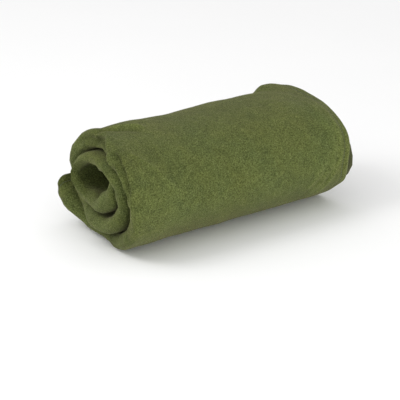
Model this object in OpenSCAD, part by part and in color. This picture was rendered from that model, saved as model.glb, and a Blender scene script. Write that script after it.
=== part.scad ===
// Rolled camp blanket: one sheet of fleece, folded to eight plies and rolled up on its side.
// The roll lies along X, with the folded end at -X and the hemmed end at +X.
// The outer end of the cloth lies against the back of the roll, at +Y, and the roll rests on Z = 0.

/* [Sheet] */
// Width of the open blanket, folded in four across the roll
sheet_width = 1500; // [1440:10:1560]
// Length of the open blanket, folded in half before rolling
sheet_length = 2000; // [1980:5:2020]
// Thickness of the fleece, pile to pile
fleece_t = 2.6; // [2.55:0.05:2.65]
// Distance of the stitch line from the hemmed edge
hem_width = 11; // [8:1:14]
// Width of the flattened sewing thread
thread_width = 0.8; // [0.6:0.1:1.0]

/* [Roll] */
// Distance from the middle of the core to the back of the roll
half_depth = 119; // [117:1:121]
// Distance from the middle of the core to the top of the unsettled roll
half_height = 96; // [94:1:98]
// Angle at which the outer end of the cloth lies, measured from the back
tail_angle = 352; // [351:1:353]
// How far the roll settles onto the ground under its own weight
settle = 4; // [3:0.5:5]
// Radius at which the inner end of the cloth bends up in front of the core
core_bend_r = 30; // [29:1:31]
// Slack between one turn of the roll and the next
turn_gap = 1.6; // [1.5:0.1:1.7]
// How far the inner folds stand out beyond the hems at the far end
fold_overhang = 5; // [3:1:8]

/* [Hidden] */
plies = 8;
ply_gap = 0.4;
fleece_color = "darkolivegreen";
thread_color = "olivedrab";
thread_t = 0.3;
groove_depth = 0.5;
fold_depth = 9;
steps_per_turn = 60;
bend_steps = 12;

roll_length = sheet_width / 4;
path_length = sheet_length / 2;
stack_t = plies * fleece_t + (plies - 1) * ply_gap;
ply_pitch = fleece_t + ply_gap;
pitch = stack_t + turn_gap;
mid_a = half_depth - stack_t / 2;
mid_b = half_height - stack_t / 2;
core_z = mid_b - pitch * (tail_angle - 270) / 360 + stack_t / 2 - settle;
// The wound part ends at the bottom of the third turn, just before the last bend
wound_turns = 2 + (tail_angle - 270) / 360;
bend_start = [-4, 0];

// Rises smoothly to the floor value where z would fall below it
function soft_floor(z, level, blend) =
    max(z, level) + pow(max(blend - abs(z - level), 0), 2) / (4 * blend);

// Middle of the folded stack after u turns, as [y, z]
function wound_point(u) =
    let (
        angle = tail_angle - 360 * u,
        y = (mid_a - pitch * u) * cos(angle),
        z = core_z + (mid_b - pitch * u) * sin(angle),
        level = stack_t / 2 + pitch * floor(u + (360 - tail_angle) / 360 + 0.001)
    )
    [y, sin(angle) < 0 ? soft_floor(z, level, 1.2) : z];

function bend_point(angle) =
    wound_point(wound_turns) + bend_start
    + core_bend_r * [-sin(angle), 1 - cos(angle)];

function path_sum(points, i = 0, total = 0) =
    i >= len(points) - 1 ? total : path_sum(points, i + 1, total + norm(points[i + 1] - points[i]));

// The stack winds in from the tail, lies along the bottom of the core and bends up with what is left
wound_count = floor((wound_turns - 0.03) * steps_per_turn);
wound = [for (i = [0:wound_count]) wound_point(i / steps_per_turn)];
bend_length = path_length - path_sum(concat(wound, [bend_point(0)]));
bend_angle = bend_length / core_bend_r * 180 / PI;
bend = [for (i = [0:bend_steps]) bend_point(bend_angle * i / bend_steps)];
mid = concat(wound, bend);
last = len(mid) - 1;

// Direction of the path, exactly level where the roll lies on the ground
function heading(i) =
    let (step = mid[min(i + 1, last)] - mid[max(i - 1, 0)])
    abs(mid[i][1] - stack_t / 2) < 0.001 ? [-1, 0] : step / norm(step);
function outward(i) = [-heading(i)[1], heading(i)[0]];
function offset_point(i, d, along) = mid[i] + d * outward(i) + along * heading(i);

// Everything is measured from the middle of the box around the roll
outer_y = [for (i = [0:last]) offset_point(i, stack_t / 2, 0)[0]];
center_y = (max(outer_y) + min(outer_y)) / 2;

// Offset of the gap below ply n, counted from the outside of the roll
function gap_offset(n) = stack_t / 2 - n * ply_pitch + ply_gap / 2;

// Places a flat YZ outline between two stations along the roll
module along_roll(x0, x1) {
    translate([x0, -center_y, 0])
        rotate([90, 0, 90])
            linear_extrude(x1 - x0)
                children();
}

// Outline of a layer between two offsets and two path points, run on past its ends by before and after
module layer_outline(d0, d1, first, final, before = 0, after = 0) {
    function extra(i) = i == first ? -before : i == final ? after : 0;
    upper = [for (i = [first:final]) offset_point(i, d1, extra(i))];
    lower = [for (i = [final:-1:first]) offset_point(i, d0, extra(i))];
    polygon(concat(upper, lower));
}

// Gap between two neighbouring plies, open at the tail and, on even gaps, at the inner end
module ply_slot(n) {
    d = gap_offset(n);
    opens_far = n <= 4;
    opens_inner = n % 2 == 0;
    along_roll(-roll_length / 2 + fold_depth, roll_length / 2 + (opens_far ? 1 : -fold_depth))
        layer_outline(d - ply_gap / 2, d + ply_gap / 2, 0, opens_inner ? last : last - 1, 1, opens_inner ? 1 : 0);
}

// Flat ribbon of thread along the roll's turns, near the hemmed sides
module turn_thread(d, t, width) {
    x = roll_length / 2 - fold_overhang - hem_width;
    along_roll(x - width / 2, x + width / 2)
        layer_outline(d - t / 2, d + t / 2, 2, last - 2);
}

// Flat ribbon of thread across the roll, near the tail
module tail_thread(d, t, width) {
    turns = hem_width / norm(mid[1] - mid[0]) / steps_per_turn;
    at = wound_point(turns);
    ahead = wound_point(turns + 0.001) - at;
    angle = atan2(ahead[1], ahead[0]);
    along_roll(-roll_length / 2 + fold_depth + 2, roll_length / 2 - fold_depth - 2)
        translate(at)
            rotate(angle)
                translate([0, d])
                    square([width, t], center = true);
}

groove_offset = stack_t / 2 - groove_depth / 2 + 0.05;
outer_thread_offset = stack_t / 2 - groove_depth / 2;

module fleece_sheet() {
    color(fleece_color)
        difference() {
            along_roll(-roll_length / 2, roll_length / 2)
                layer_outline(-stack_t / 2, stack_t / 2, 0, last);
            // The outer four plies end in hems, short of the folds of the inner four
            along_roll(roll_length / 2 - fold_overhang, roll_length / 2 + 1)
                layer_outline(gap_offset(4), stack_t / 2 + turn_gap / 4, 0, last, 1, 1);
            for (n = [1:plies - 1])
                ply_slot(n);
            turn_thread(groove_offset, groove_depth + 0.1, thread_width + 0.2);
            tail_thread(groove_offset, groove_depth + 0.1, thread_width + 0.2);
        }
}

// First long side: its hem lies on plies one and two
module side_hem_thread_a() {
    color(thread_color) {
        turn_thread(outer_thread_offset, thread_t, thread_width);
        turn_thread(gap_offset(1), thread_t, thread_width);
    }
}

// Second long side: its hem lies on plies three and four
module side_hem_thread_b() {
    color(thread_color) {
        turn_thread(gap_offset(2), thread_t, thread_width);
        turn_thread(gap_offset(3), thread_t, thread_width);
    }
}

// First short end: its hem lies on plies one, four, five and eight at the tail
module end_hem_thread_a() {
    color(thread_color) {
        tail_thread(outer_thread_offset, thread_t, thread_width);
        for (n = [3, 4, 7])
            tail_thread(gap_offset(n), thread_t, thread_width);
    }
}

// Second short end: its hem lies on plies two, three, six and seven at the tail
module end_hem_thread_b() {
    color(thread_color)
        for (n = [1, 2, 5, 6])
            tail_thread(gap_offset(n), thread_t, thread_width);
}

fleece_sheet();
side_hem_thread_a();
side_hem_thread_b();
end_hem_thread_a();
end_hem_thread_b();
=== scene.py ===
# A camp blanket: one hemmed sheet of fleece, folded to eight plies and rolled up on its side.
import math

import bpy
import numpy as np
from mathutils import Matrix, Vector


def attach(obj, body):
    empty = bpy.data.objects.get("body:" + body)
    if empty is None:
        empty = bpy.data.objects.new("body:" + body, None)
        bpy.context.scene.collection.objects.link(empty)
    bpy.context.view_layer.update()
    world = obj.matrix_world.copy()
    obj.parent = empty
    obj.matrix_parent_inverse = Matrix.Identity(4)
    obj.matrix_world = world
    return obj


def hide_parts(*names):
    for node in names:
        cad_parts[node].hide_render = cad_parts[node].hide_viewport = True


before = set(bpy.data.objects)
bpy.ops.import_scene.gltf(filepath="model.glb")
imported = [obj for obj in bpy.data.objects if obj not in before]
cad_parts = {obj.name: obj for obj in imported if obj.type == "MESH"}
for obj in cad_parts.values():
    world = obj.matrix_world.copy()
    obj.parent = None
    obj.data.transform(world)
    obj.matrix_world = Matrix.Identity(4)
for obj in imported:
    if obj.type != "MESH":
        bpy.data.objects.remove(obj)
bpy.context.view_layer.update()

MM = 0.001

# The open sheet, in millimetres: its size, its thickness and the gap between plies, its hems and stitches
WIDTH, LENGTH = 1500.0, 2000.0
FLEECE, GAP = 2.6, 0.4
HEM = 11.0
STITCH, THREAD_R = 3.4, 0.42
# How far in from an edge the cloth is rounded, and the stations across that stretch
EDGE_ROUND = 1.6
RIM = np.array([0, 0.15, 0.5, 1.0, EDGE_ROUND])

# The roll, in millimetres and degrees, with the sizes that the frame was designed to
TAIL_ANGLE = 352.0
HALF_DEPTH, HALF_HEIGHT = 119.0, 96.0
SETTLE = 4.0
TURN_GAP = 1.6
OVERHANG = 5.0
# The inner end of the cloth bends up in a wider curve than in the frame: its start, radius and angle
CORE_START, CORE_R, CORE_BEND = -9.0, 34.0, 121.0

PLY = FLEECE + GAP
STACK = 8 * FLEECE + 7 * GAP
HALF = STACK / 2
PITCH = STACK + TURN_GAP
MID_A, MID_B = HALF_DEPTH - HALF, HALF_HEIGHT - HALF
ROLL_LENGTH = WIDTH / 4
PATH_LENGTH = LENGTH / 2
CORE_Z = MID_B - PITCH * (TAIL_ANGLE - 270) / 360 + HALF - SETTLE
TURNS = 2 + (TAIL_ANGLE - 270) / 360
NEAR_FOLD = -ROLL_LENGTH / 2 + HALF
FAR_FOLD = ROLL_LENGTH / 2 - 2 * PLY
HEM_EDGE = ROLL_LENGTH / 2 - OVERHANG
# Along the stack from its outer end: the top of the roll, and where the first turn ends
TOP, TURN_END = 404.0, 520.0


def smooth_step(x, low, high):
    t = np.clip((x - low) / (high - low), 0.0, 1.0)
    return t * t * (3 - 2 * t)


def bump(x, middle, width):
    return np.exp(-(((x - middle) / width) ** 2))


def ripple(a, b, size, seed, waves=6):
    """Irregular smooth waves over two coordinates, mostly between -1 and 1."""
    rng = np.random.default_rng(seed)
    total = 0.0
    for _ in range(waves):
        angle, phase = rng.uniform(0, 2 * math.pi, 2)
        length = size * rng.uniform(0.7, 1.6)
        travelled = a * math.cos(angle) + b * math.sin(angle)
        total = total + np.sin(travelled * 2 * math.pi / length + phase)
    return total / math.sqrt(waves)


# ---- the path of the folded stack through the roll ----

STEPS_PER_TURN = 720
# How softly a turn meets what it lies on
GROUND_BLEND = 1.2


def wound_path():
    """Middle of the stack from the outer end of the cloth to the bottom of the core."""
    u = np.arange(0.0, TURNS, 1 / STEPS_PER_TURN)
    angle = np.radians(TAIL_ANGLE - 360 * u)
    y = (MID_A - PITCH * u) * np.cos(angle)
    z = CORE_Z + (MID_B - PITCH * u) * np.sin(angle)
    # each turn lies flat on the one below it, and the first on the ground
    level = HALF + PITCH * np.floor(u + (360 - TAIL_ANGLE) / 360 + 1e-6)
    near = np.maximum(GROUND_BLEND - np.abs(z - level), 0)
    z = np.where(np.sin(angle) < 0, np.maximum(z, level) + near**2 / (4 * GROUND_BLEND), z)
    return y, z


def stack_path():
    """The whole path at steps of 1 mm: the wound turns, then the bend at the inner end of the cloth."""
    y, z = wound_path()
    keep = np.arange(len(y)) < (TURNS - 0.03) * STEPS_PER_TURN
    y, z = y[keep], z[keep]
    y0, z0 = CORE_START, HALF + PITCH * 2
    bend = np.linspace(0, math.radians(CORE_BEND), 80)
    y = np.append(y, y0 - CORE_R * np.sin(bend))
    z = np.append(z, z0 + CORE_R * (1 - np.cos(bend)))
    s = np.append(0, np.cumsum(np.hypot(np.diff(y), np.diff(z))))
    even = np.arange(0, s[-1], 1.0)
    return even, np.interp(even, s, y), np.interp(even, s, z)


def rounded(values, reach):
    """A running mean that keeps both ends where they are."""
    before = 2 * values[0] - values[reach:0:-1]
    after = 2 * values[-1] - values[-2 : -reach - 2 : -1]
    padded = np.concatenate([before, values, after])
    return np.convolve(padded, np.ones(2 * reach + 1) / (2 * reach + 1), "valid")


PATH_S, PATH_Y, PATH_Z = stack_path()
PATH_Y, PATH_Z = rounded(PATH_Y, 6), rounded(PATH_Z, 6)
TAN_Y, TAN_Z = np.gradient(PATH_Y), np.gradient(PATH_Z)
_size = np.hypot(TAN_Y, TAN_Z)
TAN_Y, TAN_Z = TAN_Y / _size, TAN_Z / _size
_outer = PATH_Y - TAN_Z * HALF
CENTER_Y = (_outer.max() + _outer.min()) / 2
PATH_END = PATH_S[-1]


# ---- how the open sheet folds into the stack ----

R_BIG, R_SMALL = 3 * PLY, PLY
# The four panels across the sheet, and the folds between them
PANELS = [
    HEM_EDGE - NEAR_FOLD,
    math.pi * R_BIG,
    FAR_FOLD - NEAR_FOLD,
    math.pi * R_SMALL,
    FAR_FOLD - NEAR_FOLD,
    math.pi * R_SMALL,
    HEM_EDGE - NEAR_FOLD,
]
PANEL_ENDS = np.cumsum([0] + PANELS)
STRETCH = PANEL_ENDS[-1] / WIDTH


def fold_profile(w):
    """Place across the stack of a point at w across the sheet: x, n and the unit normal."""
    v = w * STRETCH
    x, n = np.zeros_like(v), np.zeros_like(v)
    tx, tn = np.zeros_like(v), np.zeros_like(v)

    def straight(k, start, way, level):
        here = (v >= PANEL_ENDS[k] - 1e-9) & (v <= PANEL_ENDS[k + 1] + 1e-9)
        x[here], n[here] = start + way * (v[here] - PANEL_ENDS[k]), level
        tx[here], tn[here] = way, 0

    def turn(k, middle, way, level, radius):
        here = (v >= PANEL_ENDS[k] - 1e-9) & (v <= PANEL_ENDS[k + 1] + 1e-9)
        a = (v[here] - PANEL_ENDS[k]) / radius
        # the wide fold leads inward through the stack, and the narrow ones lead back outward
        side = 1 if radius == R_BIG else -1
        x[here] = middle + way * radius * np.sin(a)
        n[here] = level + side * radius * np.cos(a)
        tx[here], tn[here] = way * np.cos(a), -side * np.sin(a)

    straight(0, HEM_EDGE, -1, 3 * PLY)
    turn(1, NEAR_FOLD, -1, 0, R_BIG)
    straight(2, NEAR_FOLD, 1, -3 * PLY)
    turn(3, FAR_FOLD, 1, -2 * PLY, R_SMALL)
    straight(4, FAR_FOLD, -1, -PLY)
    turn(5, NEAR_FOLD, -1, 0, R_SMALL)
    straight(6, NEAR_FOLD, 1, PLY)
    return x, n, tn, -tx


def lengthwise_fold(b):
    """Place along the stack of a point at b along the sheet: s, and the ply's side of the double layer."""
    half = PATH_LENGTH
    reach = math.pi * PLY / 4
    theta = np.clip((b - (half - reach)) / (2 * reach), 0, 1) * math.pi
    s = np.where(b < half, np.minimum(b, half - reach), np.minimum(LENGTH - b, half - reach))
    return s, np.cos(theta), np.sin(theta)


def edge_distance(w, b):
    return np.minimum(np.minimum(w, WIDTH - w), np.minimum(b, LENGTH - b))


def half_thickness(w, b):
    """Half the cloth's thickness: thicker in the hems, pinched by the stitches, rounded at the edges."""
    edge = edge_distance(w, b)
    hem = 1 + 0.16 * (1 - smooth_step(edge, HEM + 0.5, HEM + 2.5))
    pinch = 1 - 0.5 * bump(edge, HEM, 1.3)
    rim = np.clip(edge / EDGE_ROUND, 0, 1)
    return FLEECE / 2 * hem * pinch * np.sqrt(np.clip(1 - (1 - rim) ** 2, 0, 1))


# ---- how the roll departs from its ideal shape ----


def curve(s, *points):
    """A smooth curve through (s, value) points, level at each of them."""
    total = points[0][1]
    for (s0, v0), (s1, v1) in zip(points, points[1:]):
        total = total + (v1 - v0) * smooth_step(s, s0, s1)
    return total


def slide(x, s):
    """How far the turns have slipped along the roll, at its folded end and at its hemmed end."""
    first_turn = curve(s, (0, -3), (30, 0), (75, 7), (130, 4), (210, -11), (260, -13.5), (335, -13), (395, 5))
    second_turn = curve(s, (472, 0), (510, 6), (538, 6), (600, -18), (730, -18))
    core = curve(s, (730, 0), (800, 7), (890, 8), (945, -2))
    folded = first_turn + second_turn + core
    hemmed = curve(s, (0, 10.5), (TURN_END - 70, 10.5), (TURN_END + 75, -12.5))
    hemmed = hemmed - 5 * bump(s, 385, 45) + 2 * bump(s, 250, 32)
    return folded + (hemmed - folded) * smooth_step(x, -150, 150)


def beside_ridge(x, s):
    """Distance along the stack from the ridge that runs along the top, slanting, from the near end."""
    return s - (TOP - 0.66 * (x + 168))


def ridge_valley(x, s):
    """1 at the bottom of the valley beside that ridge, 0 away from it."""
    return (1 - smooth_step(x, -140, -115)) * bump(beside_ridge(x, s), -10, 6)


def broad_relief(x, s):
    """Soft shape of the first turn, in millimetres outward, shared by all of its plies."""
    near = 1 - smooth_step(x, -190, -60)
    far = smooth_step(x, 100, 185)
    # drawn in low at the back, and below at the near end
    out = -6.5 * bump(s, 88, 42) * (0.55 + 0.45 * near) - 2.5 * bump(s, 128, 22) * near
    # lumps on top of the near end
    out = out + 2.6 * bump(x, -173, 13) * bump(s, 430, 30) - 1.6 * bump(x, -158, 11) * bump(s, 407, 26)
    out = out + 3.2 * bump(x, -118, 32) * bump(s, 400, 36)
    # the far end is drawn in over its front, and stands up in a fold at its top
    out = out - 6.0 * far * bump(s, 366, 40) - 7.0 * smooth_step(x, 158, 188) * bump(s, 318, 34)
    out = out - 3.2 * smooth_step(x, 140, 185) * bump(s, 205, 26)
    fold = smooth_step(x, 127, 143) * (1 - 0.8 * smooth_step(x, 152, 188))
    out = out + 9.5 * fold * bump(s, 430, 20)
    out = out - 2.0 * bump(x, -75, 60) * bump(s, 205, 26) - 4.2 * near * ridge_valley(x, s)
    out = out + 0.9 * ripple(x, s, 150, 4) * smooth_step(s, 170, 230)
    return out * (1 - smooth_step(s, 460, TURN_END))


def crease(along, across, start, end, width, height):
    """A soft ridge with a low shoulder on one side, along a stretch of the surface."""
    window = smooth_step(along, start, start + 14) * (1 - smooth_step(along, end - 18, end))
    return window * height * (bump(across, 0, width) + 0.25 * bump(across, -1.6 * width, width))


def fine_relief(x, s):
    """Wrinkles of the outermost ply alone, in millimetres outward and never inward."""
    # two ridges that run along the top from the near end
    out = crease(x, beside_ridge(x, s), -170, -112, 4.0, 4.2)
    out = out + crease(x, s - 441 + 0.2 * (x + 150), -172, -96, 6.0, 1.6)
    # drag lines that run from the near end's pleat down over the front
    out = out + crease(x, s - (330 - (x + 165) * 1.15), -172, -108, 5.0, 1.9)
    # creases at the far end's lower corner, slanting up to the hem
    for shift, height in ((0, 3.4), (17, 2.6), (36, 1.8)):
        slant = (x - 150 + shift) * 0.86 - (s - 238) * 0.5
        out = out + height * bump(slant, 0, 4.6) * bump(s, 232, 34) * smooth_step(x, 78, 120)
    # low ridges beside the hem
    out = out + 1.5 * bump(x, 163 + 2 * ripple(s, 0, 160, 7), 4.2) * bump(s, 268, 60)
    out = out + 1.1 * bump(x, 150 + 3 * ripple(s, 0, 190, 9), 6.0) * bump(s, 285, 62)
    # the hem's rim stands off low on the front
    out = out + 1.5 * smooth_step(x, 166, 184) * bump(s, 246, 36)
    # a short fold low on the front
    out = out + 1.8 * bump(x + 79 + 0.45 * (s - 240), 0, 2.6) * bump(s, 240, 17)
    # general unevenness
    lift = 0.45 + 0.3 * ripple(x, s, 34, 11) + 0.28 * ripple(x, 0.7 * s, 62, 12)
    out = out + np.maximum(lift, 0)
    return out * (1 - smooth_step(s, 470, TURN_END)) * smooth_step(x, -186, -170)


def end_relief(x, s, n):
    """How far the folded end is pushed in, in millimetres towards the far end."""
    near = 1 - smooth_step(x, -189, -158)
    first = 1 - smooth_step(s, 460, TURN_END)
    # the end of the first turn is hollow over the top and stands up in a ridge beside the hollow
    step = s - (352 + 2.2 * n)
    hollow = 10.0 * smooth_step(step, 0, 9) * (1 - smooth_step(step, 50, 105)) * bump(n, 0.5, 6.5)
    ridge = -3.6 * bump(step, -4, 5) * smooth_step(n, -9, -2)
    # a pleat where the front surface tucks under the end
    window = smooth_step(s, 278, 292) * (1 - smooth_step(s, 332, 350))
    line = n - (2.5 + (s - 296) / 12)
    pleat = window * (9.0 * bump(line, 0, 2.6) - 2.8 * bump(line, -5.5, 2.4))
    low = 2.6 * bump(s, 150, 50)
    outer_wave = 1.5 * ripple(s, n * 2, 70, 21) + 0.8 * ripple(s, n * 3, 26, 22)
    inner_wave = 1.8 * ripple(s, n * 2, 95, 23) + 0.9 * ripple(s, n * 3, 34, 24)
    return near * (first * (hollow + ridge + pleat + low + outer_wave) + (1 - first) * inner_wave)


def core_relief(x, s):
    """How far the inner surface of the second turn stands into the core, in millimetres."""
    lumps = 2.4 * ripple(x, s, 58, 31) + 1.4 * ripple(x, s, 27, 32) + 1.5 * ripple(0.3 * x, s, 19, 33)
    window = smooth_step(s, 620, 700) * (1 - smooth_step(s, PATH_LENGTH - 90, PATH_LENGTH - 50))
    near = 1 - smooth_step(x, -150, -40)
    drawn_back = 6.5 * bump(s, 818, 58) + 6.0 * bump(s, 885, 36) + 5.0 * bump(s, 848, 28)
    return (0.8 + lumps) * window + 3.5 * bump(s, 690, 45) - drawn_back * near


def shoulder(x, s):
    """How far the near end sinks on the inner side of the first turn and the outer side of the second."""
    near = 1 - smooth_step(x, -170, -70)
    first = 5.0 * bump(s, 348, 34) * (1 - smooth_step(s, 470, TURN_END))
    second = 6.5 * bump(s, 764, 34) * smooth_step(s, TURN_END, 600) + 7.5 * bump(s, 692, 34)
    return near * first, near * second


def hem_fan(x, s, n):
    """The four hems don't lie exactly on each other, and the outermost draws back low on the front."""
    back = 17.0 * bump(s, 245, 27) * smooth_step(n, 8.4, 9.4)
    fan = 1.6 * ripple(s, n * 9, 170, 41) + 8.0 * bump(s, 232, 29) * smooth_step(n, 3, 5)
    return (fan - back) * smooth_step(x, 120, 182) * smooth_step(n, -1, 1)


def pile_tone(w, b):
    """How much painted light (above 0) or painted shade (below 0) lies on the cloth: paler on the outermost
    ply's ridges, darker in its low places, beside the top ridge, where the folded end is pushed in, and on
    the inner hems.
    """
    x, n, _, _ = fold_profile(w)
    s, c, _ = lengthwise_fold(b)
    outermost = (n > 8.5) & (c > 0)
    # painted highlight on the outermost ply's ridges, painted shade in its low places
    ridges = 0.18 * (fine_relief(x, s) - 0.7) * outermost
    # painted shade where the folded end is pushed in, painted highlight where it stands out
    ends = -0.055 * end_relief(x, s, n) * (n > -8)
    # painted shade in the valley beside the ridge along the top
    valley = -0.25 * ridge_valley(x, s) * outermost
    # painted shade on the inner plies' hems, low on the front under the outermost hem
    hems = -1.5 * smooth_step(x, 150, 166) * bump(s, 246, 42) * ~outermost
    return np.clip(ridges + ends + valley + hems, -1.3, 0.8)


def tongue(out, s, n):
    """The inner end of the cloth tapers to a wedge against the turn around it."""
    left = PATH_LENGTH - s
    taper = 0.42 + 0.98 * np.sqrt(smooth_step(left, -1, 42)) - 0.4 * smooth_step(left, 40, 80)
    out = HALF - (HALF - out) * taper
    # its outer side draws away from that turn, so that it shows as a separate tongue
    return out - (3.5 * bump(s, 945, 34) + 3.5 * bump(s, 984, 7)) * (HALF + n) / STACK


def beside_path(along, out):
    """The y and z of points at a distance outward from the path, which runs on straight past its ends."""
    inside = np.clip(along, 0, PATH_END)
    y, z = np.interp(inside, PATH_S, PATH_Y), np.interp(inside, PATH_S, PATH_Z)
    ty, tz = np.interp(inside, PATH_S, TAN_Y), np.interp(inside, PATH_S, TAN_Z)
    size = np.hypot(ty, tz)
    ty, tz = ty / size, tz / size
    return y - tz * out + ty * (along - inside), z + ty * out + tz * (along - inside)


def warp(x, s, n):
    """Position of a point at x along the roll, s along the stack and n outward from its middle."""
    tail, tip = np.exp(-np.maximum(s, 0) / 27), np.exp(-(PATH_LENGTH - s) / 20)
    # the plies have slipped on each other, so both ends of the stack are slanted
    path = s * PATH_END / PATH_LENGTH
    along = path + (13 + 1.15 * n) * tail + (1 + 0.25 * n) * tip
    swell = 1 + 0.15 * bump(s, 34, 24) - 0.36 * np.exp(-np.maximum(s, 0) / 10)
    out = (n + HALF) * (swell + broad_relief(x, s) / STACK) - HALF
    first_inner, second_outer = shoulder(x, s)
    out = out - first_inner * (HALF - n) / STACK - second_outer * (HALF + n) / STACK
    out = out - core_relief(x, s) * smooth_step(-n, -HALF, HALF)
    out = tongue(out, s, n) + fine_relief(x, s) * smooth_step(n, 8.8, 9.4)
    # the inner hems hang back from the outermost one low on the front
    hang = 2.5 * smooth_step(x, 158, 184) * bump(s, 246, 34) * (1 - smooth_step(n, 8.3, 9.2))
    out = out - hang * (n + HALF) / STACK
    # the tail stands off the back a little
    out = out + 6.5 * bump(s, -2, 26)
    moved = x + slide(x, s) + end_relief(x, s, n) + hem_fan(x, s, n)
    y, z = beside_path(along, out)
    # nothing reaches below the ground, and the plies of the first turn stay in order above it
    lowest = np.clip((HALF - n) * 0.85, 0.13, None)
    z = np.where(smooth_step(s, 470, TURN_END + 60) < 0.5, np.maximum(z, lowest), z)
    return np.stack([moved, y - CENTER_Y, z], -1)


def place(w, b, e):
    """Position of a point of the cloth, e towards its right face from the middle of its thickness."""
    x, n, nx, nn = fold_profile(w)
    s, c, g = lengthwise_fold(b)
    h = (PLY / 2 + e) * c
    return warp(x + nx * h, s + (PLY / 2 + e) * g, n + nn * h)


# ---- meshes ----


def new_object(name, points, faces):
    mesh = bpy.data.meshes.new(name)
    mesh.from_pydata((points * MM).tolist(), [], faces)
    mesh.polygons.foreach_set("use_smooth", [True] * len(mesh.polygons))
    mesh.update()
    obj = bpy.data.objects.new(name, mesh)
    bpy.context.scene.collection.objects.link(obj)
    return obj


def spaced(low, high, step):
    return np.linspace(low, high, max(2, int(round((high - low) / step)) + 1))


def columns():
    """Stations across the sheet: fine at the hems, the folds and the outermost ply."""
    a, b, c, d, e, f, total = PANEL_ENDS[1:]
    parts = [
        spaced(EDGE_ROUND, 16, 1.45),
        spaced(16, 105, 3.4),
        spaced(105, a - 90, 15),
        spaced(a - 90, a, 3.8),
        spaced(a, b, 1.8),
        spaced(b, b + 40, 7),
        spaced(b + 40, c - 12, 22),
        spaced(c - 12, c, 6),
        spaced(c, d, 1.9),
        spaced(d, d + 12, 6),
        spaced(d + 12, e - 30, 22),
        spaced(e - 30, e, 8),
        spaced(e, f, 2.4),
        spaced(f, f + 30, 8),
        spaced(f + 30, total - 16, 22),
        spaced(total - 16, total - EDGE_ROUND, 2.4),
    ]
    v = np.concatenate([RIM] + parts + [total - RIM[::-1]])
    return np.unique(np.round(v / STRETCH, 4))


def rows():
    """Stations along the sheet: fine at the hems, on the outermost turn and at the last fold."""
    parts = [
        spaced(EDGE_ROUND, 16, 1.45),
        spaced(16, 195, 9),
        spaced(195, 300, 3.4),
        spaced(300, 440, 2.7),
        spaced(440, 960, 11),
        spaced(960, 997, 4),
        spaced(997.6, 1002.4, 0.8),
        spaced(1003, 1040, 5),
        spaced(1040, 1300, 10),
        spaced(1300, 1550, 15),
        spaced(1550, 1700, 6),
        spaced(1700, LENGTH - 16, 15),
        spaced(LENGTH - 16, LENGTH - EDGE_ROUND, 1.8),
    ]
    return np.unique(np.round(np.concatenate([RIM] + parts + [LENGTH - RIM[::-1]]), 4))


def fleece_sheet():
    """The whole sheet, both faces and all four edges, as one closed surface."""
    grid_w, grid_b = np.meshgrid(columns(), rows())
    t = half_thickness(grid_w, grid_b)
    right, wrong = place(grid_w, grid_b, t), place(grid_w, grid_b, -t)
    nb, nw = grid_w.shape
    front = np.arange(nb * nw).reshape(nb, nw)
    # the two faces share their points along the four edges
    rim = np.zeros((nb, nw), bool)
    rim[0], rim[-1], rim[:, 0], rim[:, -1] = True, True, True, True
    back = np.where(rim, front, front + nb * nw)
    over = np.stack([front[:-1, :-1], front[:-1, 1:], front[1:, 1:], front[1:, :-1]], -1)
    under = np.stack([back[:-1, :-1], back[1:, :-1], back[1:, 1:], back[:-1, 1:]], -1)
    points = np.concatenate([right.reshape(-1, 3), wrong.reshape(-1, 3)])
    faces = np.concatenate([over.reshape(-1, 4), under.reshape(-1, 4)])
    used = np.unique(faces)
    order = np.zeros(len(points), int)
    order[used] = np.arange(len(used))
    obj = new_object("fleece", points[used], order[faces].tolist())
    cloth = np.stack([grid_w, grid_b, edge_distance(grid_w, grid_b)], -1).reshape(-1, 3)
    cloth = np.concatenate([cloth, cloth])[used]
    layer = obj.data.attributes.new("cloth", "FLOAT_VECTOR", "POINT")
    layer.data.foreach_set("vector", cloth.ravel())
    # painted light and shade, kept per point for the fleece material
    tone = pile_tone(grid_w, grid_b).ravel()
    layer = obj.data.attributes.new("pile", "FLOAT", "POINT")
    layer.data.foreach_set("value", np.concatenate([tone, tone])[used])
    print("fleece:", nb, "x", nw, "stations,", 2 * len(faces), "triangles")
    return obj


def tube(points, radius, sides):
    """Points and faces of a thin closed tube along a line of points."""
    ahead = np.gradient(points, axis=0)
    ahead /= np.linalg.norm(ahead, axis=1)[:, None] + 1e-12
    side = np.cross(ahead, [0.3, 0.5, 0.81])
    side /= np.linalg.norm(side, axis=1)[:, None]
    up = np.cross(ahead, side)
    angle = np.arange(sides) * 2 * math.pi / sides
    ring = side[:, None] * np.cos(angle)[None, :, None] + up[:, None] * np.sin(angle)[None, :, None]
    ring = points[:, None] + radius * ring
    count = len(points)
    a = (np.arange(count - 1)[:, None] * sides + np.arange(sides)[None]).ravel()
    b = (np.arange(count - 1)[:, None] * sides + (np.arange(sides)[None] + 1) % sides).ravel()
    faces = np.stack([a, b, b + sides, a + sides], -1).tolist()
    faces += [list(range(sides))[::-1], list(range((count - 1) * sides, count * sides))]
    return ring.reshape(-1, 3), faces


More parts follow.
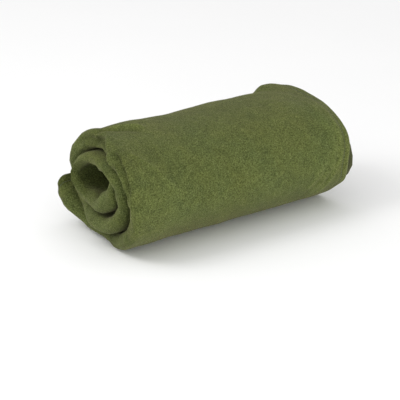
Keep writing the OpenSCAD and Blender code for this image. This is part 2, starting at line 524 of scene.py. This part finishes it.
def hem_thread(name, side, at):
    """The stitches of one hem, on both faces of the cloth."""
    total = LENGTH if side == "long" else WIDTH
    count = int((total - 2 * HEM) / STITCH)
    step = (total - 2 * HEM) / count
    # each stitch comes up out of the cloth, lies on it, and goes down again
    phase, height = np.array([0.0, 0.12, 0.5, 0.88]), [-0.9, 0.1, 0.22, 0.1]
    along = np.append((HEM + step * (np.arange(count)[:, None] + phase[None])).ravel(), total - HEM)
    rise = np.append(np.tile(height, count), height[0])
    across = np.full_like(along, at)
    w, b = (across, along) if side == "long" else (along, across)
    t = half_thickness(w, b)
    points, faces = [], []
    for face in (1, -1):
        ring, quads = tube(place(w, b, face * (t + rise)), THREAD_R, 4)
        # no stitch reaches below the ground
        ring[:, 2] = np.maximum(ring[:, 2], 0)
        shift = sum(len(p) for p in points)
        points.append(ring)
        faces += [[i + shift for i in quad] for quad in quads]
    return new_object(name, np.concatenate(points), faces)


# ---- materials ----


def new_material(name):
    mat = bpy.data.materials.new(name)
    mat.use_nodes = True
    tree = mat.node_tree
    return mat, tree, tree.nodes["Principled BSDF"]


def add(tree, kind, values=(), **settings):
    node = tree.nodes.new(kind)
    for key, value in settings.items():
        setattr(node, key, value)
    for key, value in dict(values).items():
        node.inputs[key].default_value = value
    return node


def noise(tree, where, scale, detail=2.0, roughness=0.5, distortion=0.0):
    node = add(tree, "ShaderNodeTexNoise", {"Scale": scale, "Detail": detail, "Roughness": roughness})
    node.inputs["Distortion"].default_value = distortion
    tree.links.new(where, node.inputs["Vector"])
    return node.outputs["Fac"]


def ramp(tree, fac, stops):
    node = add(tree, "ShaderNodeValToRGB")
    while len(node.color_ramp.elements) < len(stops):
        node.color_ramp.elements.new(0.5)
    for element, (position, color) in zip(node.color_ramp.elements, stops):
        element.position = position
        element.color = (*color, 1)
    tree.links.new(fac, node.inputs["Fac"])
    return node.outputs["Color"]


def math_node(tree, operation, a, b=None, c=None):
    node = add(tree, "ShaderNodeMath", operation=operation)
    for socket, value in zip(node.inputs, (a, b, c)):
        if value is None:
            continue
        if isinstance(value, (int, float)):
            socket.default_value = value
        else:
            tree.links.new(value, socket)
    return node.outputs[0]


def mixed(tree, fac, a, b, blend="MIX"):
    node = add(tree, "ShaderNodeMix", data_type="RGBA", blend_type=blend)
    for socket, value in ((node.inputs[0], fac), (node.inputs[6], a), (node.inputs[7], b)):
        if isinstance(value, (int, float)):
            socket.default_value = value
        elif isinstance(value, tuple):
            socket.default_value = (*value, 1)
        else:
            tree.links.new(value, socket)
    return node.outputs[2]


def toned(tree, color, fac, low, high, amount=1.0):
    """A colour multiplied by a tone that runs with fac from one (position, tone) stop to another."""
    return mixed(tree, amount, color, ramp(tree, fac, [low, high]), "MULTIPLY")


def fading(tree, value, low, high, most):
    """Falls from most to 0 as value rises from low to high."""
    limits = {"From Min": low, "From Max": high, "To Min": most, "To Max": 0.0}
    node = add(tree, "ShaderNodeMapRange", limits)
    tree.links.new(value, node.inputs["Value"])
    return node.outputs[0]


def bumped(tree, height, strength, distance, normal=None):
    node = add(tree, "ShaderNodeBump", {"Strength": strength, "Distance": distance})
    tree.links.new(height, node.inputs["Height"])
    if normal is not None:
        tree.links.new(normal, node.inputs["Normal"])
    return node.outputs["Normal"]


def fleece_material():
    """Brushed polar fleece: felted nap in small tufts, with patches of tone, paler at the hems' rims, partly
    from wear and partly from a painted highlight, and with painted light and shade on its ridges and folds.
    """
    mat, tree, bsdf = new_material("fleece")
    where = add(tree, "ShaderNodeTexCoord").outputs["Object"]
    cloth = add(tree, "ShaderNodeAttribute", attribute_name="cloth")
    parts = add(tree, "ShaderNodeSeparateXYZ")
    tree.links.new(cloth.outputs["Vector"], parts.inputs[0])
    across, along, edge = parts.outputs

    grain = noise(tree, where, 560, 3, 0.75)
    tufts = noise(tree, where, 460, 2, 0.6, 0.3)
    patches = noise(tree, where, 78, 3, 0.6)
    broad = noise(tree, where, 12, 3, 0.6)

    deep, green, pale = (0.026, 0.032, 0.007), (0.083, 0.102, 0.027), (0.172, 0.198, 0.072)
    color = ramp(tree, grain, [(0.32, deep), (0.52, green), (0.72, pale)])
    color = toned(tree, color, tufts, (0.3, (0.84, 0.84, 0.84)), (0.7, (1.15, 1.15, 1.15)), 0.75)
    color = toned(tree, color, patches, (0.3, (0.86, 0.87, 0.88)), (0.7, (1.13, 1.12, 1.09)))
    color = toned(tree, color, broad, (0.35, (1.06, 1.02, 0.97)), (0.65, (0.95, 0.98, 1.02)))
    # the hem's rim is paler, partly worn pale by brushing and partly a painted highlight where it catches the
    # light
    color = mixed(tree, fading(tree, edge, 0.3, 3.0, 0.45), color, (0.18, 0.205, 0.088))
    # its stitch line lies in a groove, darkened with painted shade
    off = math_node(tree, "ABSOLUTE", math_node(tree, "SUBTRACT", edge, HEM))
    seam = fading(tree, off, 0.4, 2.0, 1.0)
    color = mixed(tree, math_node(tree, "MULTIPLY", seam, 0.6), color, (0.04, 0.05, 0.015))
    # the cloth is paler on ridges and darker in folds, hollows and on the inner hems: painted highlight and
    # painted shade
    pile = add(tree, "ShaderNodeAttribute", attribute_name="pile").outputs["Fac"]
    color = mixed(tree, 1.0, color, math_node(tree, "MULTIPLY_ADD", pile, 0.55, 1.0), "MULTIPLY")
    tree.links.new(color, bsdf.inputs["Base Color"])

    # puckers between the stitches, along both pairs of hems
    phase = math_node(tree, "MULTIPLY", math_node(tree, "ADD", across, along), 2 * math.pi / STITCH)
    pucker = math_node(tree, "MULTIPLY", math_node(tree, "SINE", phase), seam)
    normal = bumped(tree, patches, 0.35, 0.004)
    normal = bumped(tree, tufts, 0.7, 0.0016, normal)
    normal = bumped(tree, grain, 0.8, 0.0009, normal)
    normal = bumped(tree, pucker, 0.6, 0.0006, normal)
    tree.links.new(normal, bsdf.inputs["Normal"])
    bsdf.inputs["Roughness"].default_value = 0.95
    bsdf.inputs["Specular IOR Level"].default_value = 0.15
    bsdf.inputs["Sheen Weight"].default_value = 0.22
    bsdf.inputs["Sheen Roughness"].default_value = 0.4
    bsdf.inputs["Sheen Tint"].default_value = (0.62, 0.56, 0.33, 1)
    return mat


def thread_material():
    """Polyester sewing thread, twisted, a little glossier than the cloth."""
    mat, tree, bsdf = new_material("thread")
    where = add(tree, "ShaderNodeTexCoord").outputs["Object"]
    fibres = noise(tree, where, 2600, 2, 0.5)
    tone = noise(tree, where, 160, 2, 0.5)
    color = ramp(tree, tone, [(0.3, (0.050, 0.062, 0.020)), (0.7, (0.105, 0.122, 0.045))])
    tree.links.new(color, bsdf.inputs["Base Color"])
    tree.links.new(bumped(tree, fibres, 0.6, 0.0002), bsdf.inputs["Normal"])
    bsdf.inputs["Roughness"].default_value = 0.55
    bsdf.inputs["Sheen Weight"].default_value = 0.15
    return mat


def floor_material():
    """A plain pale floor, very slightly uneven in tone."""
    mat, tree, bsdf = new_material("floor")
    where = add(tree, "ShaderNodeTexCoord").outputs["Object"]
    low, high = (0.0, (0.97, 0.97, 0.97)), (1.0, (0.99, 0.99, 0.99))
    color = ramp(tree, noise(tree, where, 3, 2, 0.5), [low, high])
    tree.links.new(color, bsdf.inputs["Base Color"])
    bsdf.inputs["Roughness"].default_value = 0.9
    bsdf.inputs["Specular IOR Level"].default_value = 0.1
    return mat


# ---- camera and studio ----

FLOOR_SIZE = 12000.0


def pointed(obj, where, at):
    obj.location = Vector(where)
    obj.rotation_euler = (Vector(at) - Vector(where)).to_track_quat("-Z", "Y").to_euler()
    bpy.context.scene.collection.objects.link(obj)


def camera():
    """Seen from the front left and a little above, with the roll above the middle of the picture."""
    data = bpy.data.cameras.new("camera")
    data.lens = 150.8
    data.clip_end = 50
    az, el, dist = math.radians(-38.0), math.radians(19.6), 2.45
    toward = np.array([math.sin(az) * math.cos(el), -math.cos(az) * math.cos(el), math.sin(el)])
    right = np.array([math.cos(az), math.sin(az), 0.0])
    up = np.cross(toward, right)
    middle = np.array([0.0, -0.005, 0.0836])
    aim = middle - right * 0.0071 - up * 0.0553
    cam = bpy.data.objects.new("camera", data)
    pointed(cam, middle + toward * dist, aim)
    bpy.context.scene.camera = cam


def soft_light(name, where, size, watts):
    data = bpy.data.lights.new(name, "AREA")
    data.energy, data.size = watts, size
    pointed(bpy.data.objects.new(name, data), where, (0, 0, 0.08))


def studio():
    """A pale floor in a bright room, with a soft lamp above the folded end and one in front."""
    world = bpy.data.worlds.new("world")
    bpy.context.scene.world = world
    world.use_nodes = True
    tree = world.node_tree
    background = tree.nodes["Background"]
    background.inputs["Color"].default_value = (1, 1, 1, 1)
    # the room is brighter at the roll's folded end than at its hemmed end
    toward = add(tree, "ShaderNodeVectorMath", {1: (-0.9, -0.2, -0.2)}, operation="DOT_PRODUCT")
    tree.links.new(add(tree, "ShaderNodeTexCoord").outputs["Generated"], toward.inputs[0])
    strength = math_node(tree, "MULTIPLY_ADD", toward.outputs["Value"], 0.32, 0.925)
    tree.links.new(strength, background.inputs["Strength"])
    corners = FLOOR_SIZE / 2 * np.array([[-1, -1, 0], [1, -1, 0], [1, 1, 0], [-1, 1, 0]], float)
    floor = new_object("floor", corners, [[0, 1, 2, 3]])
    floor.data.materials.append(floor_material())
    soft_light("overhead", (-1.2, 0.4, 1.3), 0.7, 8.5)
    soft_light("front", (0.3, -2.0, 0.06), 0.6, 32)


# ---- the object ----


def build():
    fleece, thread = fleece_material(), thread_material()
    sheet = fleece_sheet()
    sheet.data.materials.append(fleece)
    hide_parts("fleece_sheet")
    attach(sheet, "root")
    for name, side, at in (
        ("side_hem_stitches_a", "long", HEM),
        ("side_hem_stitches_b", "long", WIDTH - HEM),
        ("end_hem_stitches_a", "short", HEM),
        ("end_hem_stitches_b", "short", LENGTH - HEM),
    ):
        hem = hem_thread(name, side, at)
        hem.data.materials.append(thread)
        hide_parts(name.replace("stitches", "thread"))
        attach(hem, "root")


bpy.context.scene.view_settings.view_transform = "Standard"
camera()
studio()
build()
